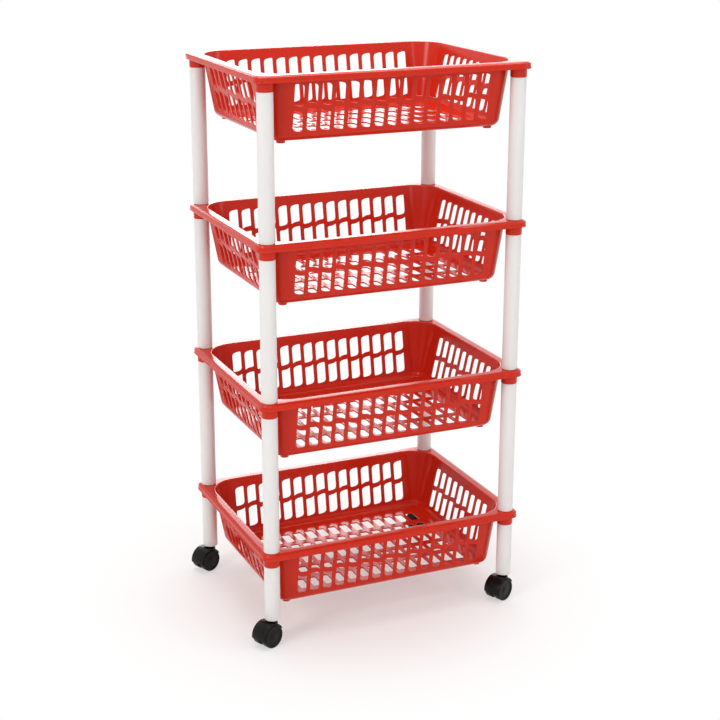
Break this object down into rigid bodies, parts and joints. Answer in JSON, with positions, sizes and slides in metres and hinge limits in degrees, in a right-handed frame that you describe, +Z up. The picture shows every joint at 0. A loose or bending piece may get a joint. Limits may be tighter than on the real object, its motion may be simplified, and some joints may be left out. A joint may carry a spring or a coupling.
{
  "type": "basket trolley",
  "caption": "Tall kitchen trolley: shallow rectangular slotted plastic baskets stacked on round tube posts, standing on twin-wheel swivel castors.",
  "frame": {"origin": "on the floor under the middle of the trolley's overall footprint, castors at rest", "axes": "+Z up, +X along the baskets' long side, -Y towards the viewer who faces a long side"},
  "size_m": [0.4518, 0.3382, 0.866],
  "materials": {
    "basket": "glossy injection-moulded red polypropylene",
    "tube": "satin white tube",
    "castor": "satin black",
    "wheel": "semi-matt black",
    "steel": "zinc-plated"
  },
  "bodies": {
    "frame": {"basket_1": "basket", "basket_2": "basket", "basket_3": "basket", "basket_4": "basket", "leg_tube_front_left": "tube", "leg_tube_front_right": "tube", "leg_tube_rear_right": "tube", "leg_tube_rear_left": "tube", "post_tube_2_front_left": "tube", "post_tube_2_front_right": "tube", "post_tube_2_rear_right": "tube", "post_tube_2_rear_left": "tube", "post_tube_3_front_left": "tube", "post_tube_3_front_right": "tube", "post_tube_3_rear_right": "tube", "post_tube_3_rear_left": "tube", "post_tube_4_front_left": "tube", "post_tube_4_front_right": "tube", "post_tube_4_rear_right": "tube", "post_tube_4_rear_left": "tube", "castor_socket_front_left": "castor", "castor_socket_front_right": "castor", "castor_socket_rear_right": "castor", "castor_socket_rear_left": "castor"},
    "castor_front_left": {"castor_front_left_hood": "castor", "castor_front_left_stem": "steel", "castor_front_left_axle": "steel"},
    "castor_front_left_wheel_1": {"castor_front_left_wheel_1": "wheel"},
    "castor_front_left_wheel_2": {"castor_front_left_wheel_2": "wheel"},
    "castor_front_right": {"castor_front_right_hood": "castor", "castor_front_right_stem": "steel", "castor_front_right_axle": "steel"},
    "castor_front_right_wheel_1": {"castor_front_right_wheel_1": "wheel"},
    "castor_front_right_wheel_2": {"castor_front_right_wheel_2": "wheel"},
    "castor_rear_right": {"castor_rear_right_hood": "castor", "castor_rear_right_stem": "steel", "castor_rear_right_axle": "steel"},
    "castor_rear_right_wheel_1": {"castor_rear_right_wheel_1": "wheel"},
    "castor_rear_right_wheel_2": {"castor_rear_right_wheel_2": "wheel"},
    "castor_rear_left": {"castor_rear_left_hood": "castor", "castor_rear_left_stem": "steel", "castor_rear_left_axle": "steel"},
    "castor_rear_left_wheel_1": {"castor_rear_left_wheel_1": "wheel"},
    "castor_rear_left_wheel_2": {"castor_rear_left_wheel_2": "wheel"}
  },
  "joints": [
    {"name": "swivel_front_left", "type": "hinge", "parent": "frame", "child": "castor_front_left", "pos_m": [-0.19157, -0.1434, 0.041], "axis": [0, 0, 1], "continuous": true},
    {"name": "spin_front_left_1", "type": "hinge", "parent": "castor_front_left", "child": "castor_front_left_wheel_1", "pos_m": [-0.20161, -0.14787, 0.018], "axis": [0.4067, -0.9135, 0], "continuous": true},
    {"name": "spin_front_left_2", "type": "hinge", "parent": "castor_front_left", "child": "castor_front_left_wheel_2", "pos_m": [-0.20161, -0.14787, 0.018], "axis": [0.4067, -0.9135, 0], "continuous": true},
    {"name": "swivel_front_right", "type": "hinge", "parent": "frame", "child": "castor_front_right", "pos_m": [0.20844, -0.1434, 0.041], "axis": [0, 0, 1], "continuous": true},
    {"name": "spin_front_right_1", "type": "hinge", "parent": "castor_front_right", "child": "castor_front_right_wheel_1", "pos_m": [0.19839, -0.14787, 0.018], "axis": [0.4067, -0.9135, 0], "continuous": true},
    {"name": "spin_front_right_2", "type": "hinge", "parent": "castor_front_right", "child": "castor_front_right_wheel_2", "pos_m": [0.19839, -0.14787, 0.018], "axis": [0.4067, -0.9135, 0], "continuous": true},
    {"name": "swivel_rear_right", "type": "hinge", "parent": "frame", "child": "castor_rear_right", "pos_m": [0.20844, 0.1516, 0.041], "axis": [0, 0, 1], "continuous": true},
    {"name": "spin_rear_right_1", "type": "hinge", "parent": "castor_rear_right", "child": "castor_rear_right_wheel_1", "pos_m": [0.19839, 0.14713, 0.018], "axis": [0.4067, -0.9135, 0], "continuous": true},
    {"name": "spin_rear_right_2", "type": "hinge", "parent": "castor_rear_right", "child": "castor_rear_right_wheel_2", "pos_m": [0.19839, 0.14713, 0.018], "axis": [0.4067, -0.9135, 0], "continuous": true},
    {"name": "swivel_rear_left", "type": "hinge", "parent": "frame", "child": "castor_rear_left", "pos_m": [-0.19157, 0.1516, 0.041], "axis": [0, 0, 1], "continuous": true},
    {"name": "spin_rear_left_1", "type": "hinge", "parent": "castor_rear_left", "child": "castor_rear_left_wheel_1", "pos_m": [-0.20161, 0.14713, 0.018], "axis": [0.4067, -0.9135, 0], "continuous": true},
    {"name": "spin_rear_left_2", "type": "hinge", "parent": "castor_rear_left", "child": "castor_rear_left_wheel_2", "pos_m": [-0.20161, 0.14713, 0.018], "axis": [0.4067, -0.9135, 0], "continuous": true}
  ]
}
